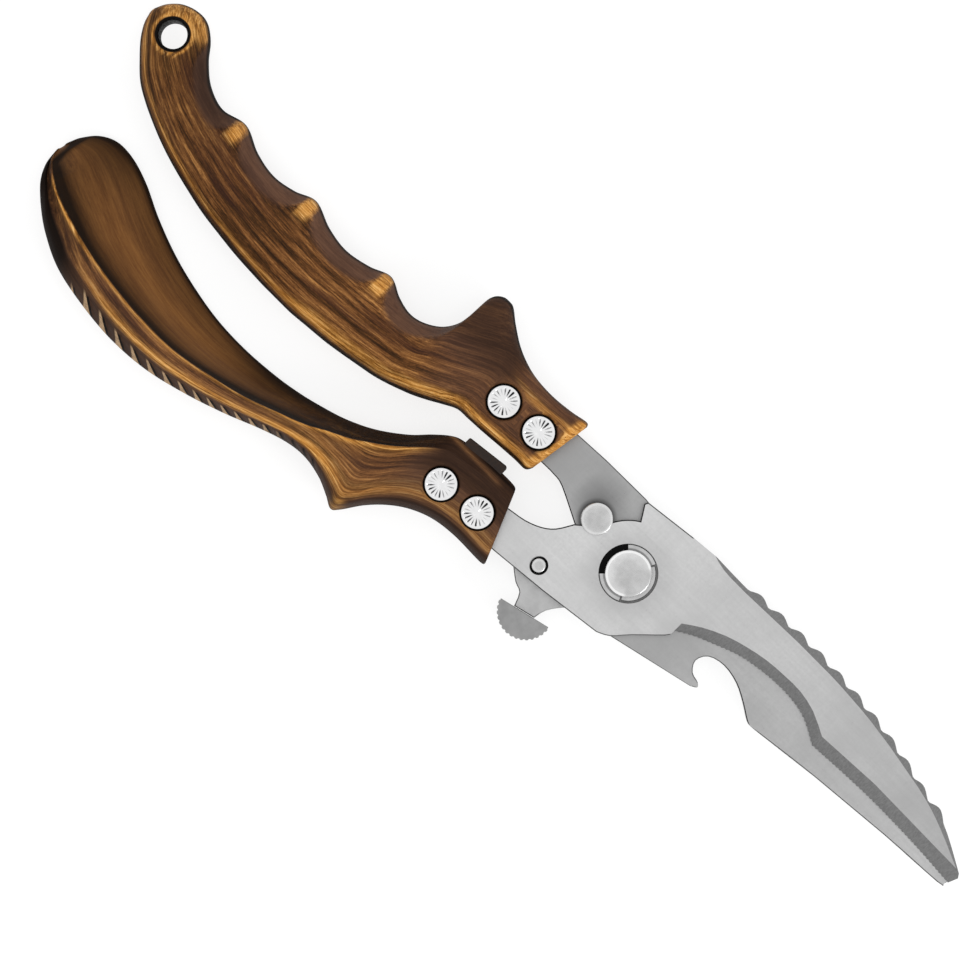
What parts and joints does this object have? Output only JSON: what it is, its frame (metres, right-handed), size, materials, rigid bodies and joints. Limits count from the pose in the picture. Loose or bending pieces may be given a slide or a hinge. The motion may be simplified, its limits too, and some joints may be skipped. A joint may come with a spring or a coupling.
{
  "type": "poultry shears",
  "caption": "Spring-type poultry shears with riveted wood-grain handles, notched blades, scaled spine, bottle opener and thumb lock.",
  "frame": {"origin": "middle of the closed shears' outline in X and Y, on the surface they lie on", "axes": "+X towards the blades' tip, +Y towards the finger handle, +Z out of the front face, along the pivot"},
  "size_m": [0.2569, 0.0671, 0.0203],
  "materials": {
    "front_steel": "brushed along the blade, ground bevels",
    "rear_steel": "brushed along the blade, ground bevels",
    "handle_moulding": "imitation antique wood grain, semi-gloss",
    "bumper_rubber": "satin",
    "rivet_steel": "plain turned",
    "cap_chrome": "bright, cut with radial facets",
    "pivot_steel": "turned and lightly brushed",
    "bush_brass": "plain turned",
    "spring_steel": "drawn wire",
    "lever_steel": "brushed",
    "pad_steel": "blasted, knurled rim"
  },
  "bodies": {
    "front_half": {"front_blade": "front_steel", "palm_handle": "handle_moulding", "bumper_pad": "bumper_rubber", "palm_rivet_posts": "rivet_steel", "palm_rivet_caps": "cap_chrome", "palm_rivet_rear_caps": "cap_chrome", "pivot_bolt": "pivot_steel", "pivot_bush": "bush_brass", "pivot_front_washer": "pivot_steel", "pivot_rear_washer": "pivot_steel", "pivot_nut": "pivot_steel", "pivot_spring": "spring_steel", "lock_pin": "pivot_steel", "lock_washer": "spring_steel"},
    "rear_half": {"rear_blade": "rear_steel", "finger_handle": "handle_moulding", "finger_rivet_posts": "rivet_steel", "finger_rivet_caps": "cap_chrome", "finger_rivet_rear_caps": "cap_chrome", "stop_stud": "pivot_steel"},
    "lock": {"lock_lever": "lever_steel", "lock_thumb_pad": "pad_steel"}
  },
  "joints": [
    {"name": "pivot", "type": "hinge", "parent": "front_half", "child": "rear_half", "pos_m": [0.03105, 0.00995, 0.0105], "axis": [0, 0, -1], "range_deg": [0, 35]},
    {"name": "lock_swing", "type": "hinge", "parent": "front_half", "child": "lock", "pos_m": [0.01605, -0.00255, 0.0105], "axis": [0, 0, 1], "range_deg": [0, 12]}
  ]
}
